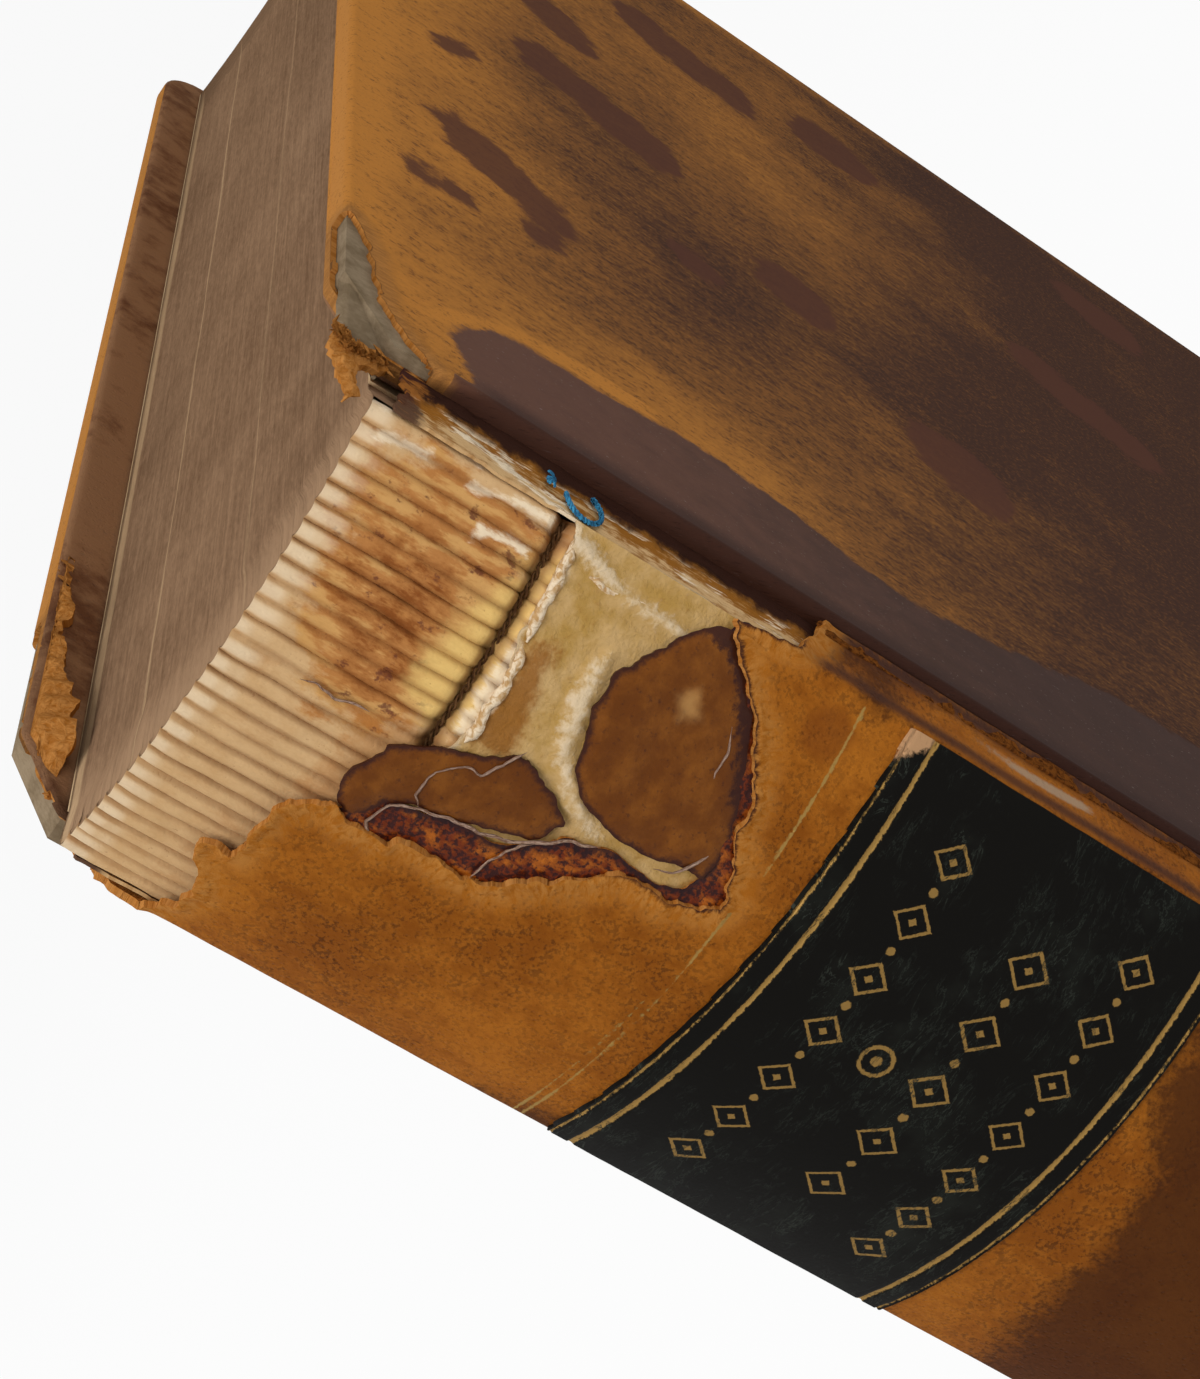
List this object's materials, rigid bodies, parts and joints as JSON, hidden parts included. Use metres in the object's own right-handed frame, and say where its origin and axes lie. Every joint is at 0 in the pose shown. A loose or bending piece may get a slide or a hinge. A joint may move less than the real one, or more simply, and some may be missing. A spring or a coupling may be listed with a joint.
{
  "type": "antique leather book",
  "caption": "Old full-leather book with a rounded spine, black label and torn spine head; both covers open.",
  "frame": {"origin": "centre of the footprint at the floor, under the tail edges of the boards", "axes": "+Z from tail to head, +X from spine to fore-edge, -Y out of the front cover"},
  "size_m": [0.1654, 0.0384, 0.2374],
  "materials": {
    "cover_leather": "worn sprinkled sheepskin",
    "under_leather": "hardened, glossy",
    "label": "polished black skiver with gilt fillets",
    "leaves": "aged rag paper, dusty edges",
    "lining": "glued paper",
    "endpaper": "aged paper",
    "millboard": "grey-green millboard",
    "cord": "hemp cord and linen thread",
    "band_thread": "blue silk thread"
  },
  "bodies": {
    "text_block": {"text_block": "leaves", "sewing_cord_1": "cord", "sewing_cord_2": "cord", "sewing_cord_3": "cord", "head_kettle_stitch": "cord", "tail_kettle_stitch": "cord", "spine_lining": "lining", "tail_endband": "band_thread", "head_band_tie_down": "band_thread", "front_flyleaf": "endpaper", "back_flyleaf": "endpaper", "spine_leather": "cover_leather", "upper_leather_scrap": "under_leather", "lower_leather_scrap": "under_leather", "title_label": "label"},
    "front_cover": {"front_board": "millboard", "front_cord_slips": "cord", "front_cover_leather": "cover_leather", "front_pastedown": "endpaper"},
    "back_cover": {"back_board": "millboard", "back_cord_slips": "cord", "back_cover_leather": "cover_leather", "back_pastedown": "endpaper"}
  },
  "joints": [
    {"name": "front_hinge", "type": "hinge", "parent": "text_block", "child": "front_cover", "pos_m": [-0.07325, -0.0192, 0.1187], "axis": [0, 0, -1], "range_deg": [0, 180]},
    {"name": "back_hinge", "type": "hinge", "parent": "text_block", "child": "back_cover", "pos_m": [-0.07325, 0.0192, 0.1187], "axis": [0, 0, 1], "range_deg": [0, 180]}
  ]
}
